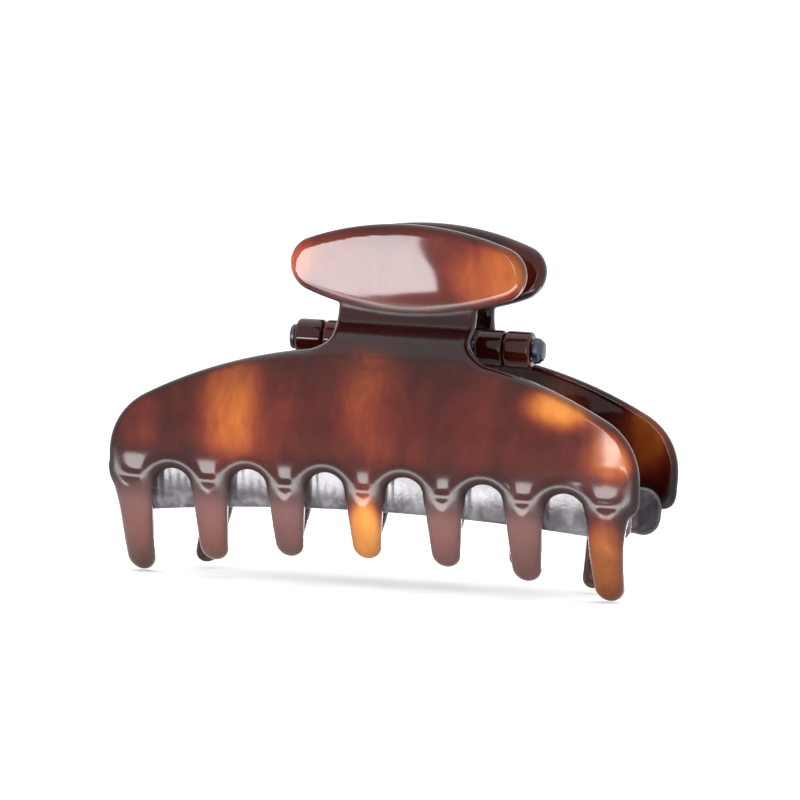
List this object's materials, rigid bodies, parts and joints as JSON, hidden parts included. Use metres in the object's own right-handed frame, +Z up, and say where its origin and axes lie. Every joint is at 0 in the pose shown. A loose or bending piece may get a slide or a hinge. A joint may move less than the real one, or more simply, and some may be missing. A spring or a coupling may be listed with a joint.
{
  "type": "claw clip",
  "caption": "Large tortoiseshell claw clip: two arched toothed jaws on a pinned hinge with thumb pads, a torsion spring and soft inner grip strips.",
  "frame": {"origin": "centre of the bounding box at the height of the lowest tooth tips", "axes": "+X along the hinge pin towards its cap, -Y the front jaw, +Z up from the tooth tips to the thumb pads"},
  "size_m": [0.082, 0.0328, 0.0542],
  "materials": {
    "tortoise_plastic": "polished translucent tortoiseshell",
    "steel": "bright drawn wire",
    "soft_grip": "translucent soft grip"
  },
  "bodies": {
    "front": {"front_jaw": "tortoise_plastic", "hinge_pin": "steel", "pin_cap": "steel", "torsion_spring": "steel", "front_grip_strip": "soft_grip"},
    "rear": {"rear_jaw": "tortoise_plastic", "rear_grip_strip": "soft_grip"}
  },
  "joints": [
    {"name": "jaw_hinge", "type": "hinge", "parent": "front", "child": "rear", "pos_m": [0.0024, 0, 0.0361], "axis": [1, 0, 0], "range_deg": [0, 36], "stiffness_Nm_per_rad": 0.12, "springref_deg": -34.38, "deforming": ["torsion_spring"]}
  ]
}
